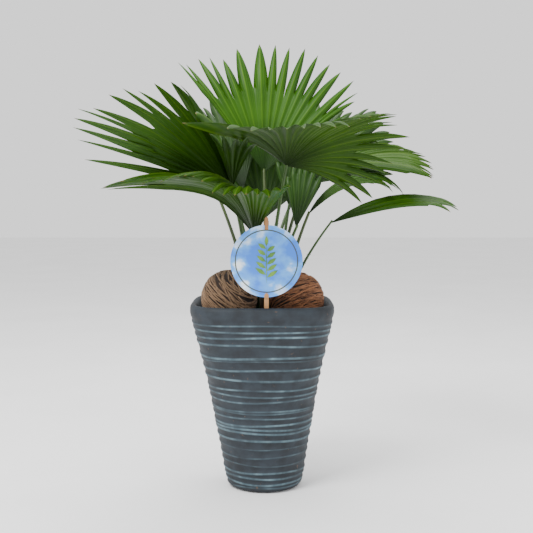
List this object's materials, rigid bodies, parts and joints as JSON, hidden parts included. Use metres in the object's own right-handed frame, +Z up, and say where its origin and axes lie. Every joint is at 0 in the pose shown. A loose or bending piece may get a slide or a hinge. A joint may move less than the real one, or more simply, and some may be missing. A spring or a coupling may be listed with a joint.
{
  "type": "potted fan palm",
  "caption": "Fan-leaved palm in a tapering ridged planter, with wound fibre balls and a picture disc on a wooden stake.",
  "frame": {"origin": "centre of the pot's flat underside", "axes": "+Z up along the pot, -Y towards the front where the picture disc faces, +X to the viewer's right"},
  "size_m": [0.632, 0.4887, 0.7695],
  "materials": {
    "pot_glaze": "matt dark slate, hand-ridged",
    "potting_soil": "moist dark soil",
    "ball_fibre_left": "coarse wound fibre",
    "ball_fibre_right": "coarse wound fibre",
    "label_print": "printed card, blue and white",
    "stake_wood": "bare pale wood",
    "stem_fibre": "fibrous sheath",
    "stalk_green": "smooth green stalk",
    "frond_green": "pleated green blade"
  },
  "bodies": {
    "root": {"pot": "pot_glaze", "soil": "potting_soil", "ball_left": "ball_fibre_left", "ball_right": "ball_fibre_right", "label_disc": "label_print", "label_stake": "stake_wood", "stem": "stem_fibre", "stalk_01": "stalk_green", "stalk_02": "stalk_green", "stalk_03": "stalk_green", "stalk_04": "stalk_green", "stalk_05": "stalk_green", "stalk_06": "stalk_green", "stalk_07": "stalk_green", "stalk_08": "stalk_green", "stalk_09": "stalk_green", "stalk_10": "stalk_green", "stalk_11": "stalk_green", "stalk_12": "stalk_green", "stalk_13": "stalk_green", "stalk_14": "stalk_green", "frond_01": "frond_green", "frond_02": "frond_green", "frond_03": "frond_green", "frond_04": "frond_green", "frond_05": "frond_green", "frond_06": "frond_green", "frond_07": "frond_green", "frond_08": "frond_green", "frond_09": "frond_green", "frond_10": "frond_green", "frond_11": "frond_green", "frond_12": "frond_green", "frond_13": "frond_green", "frond_14": "frond_green"}
  },
  "joints": []
}
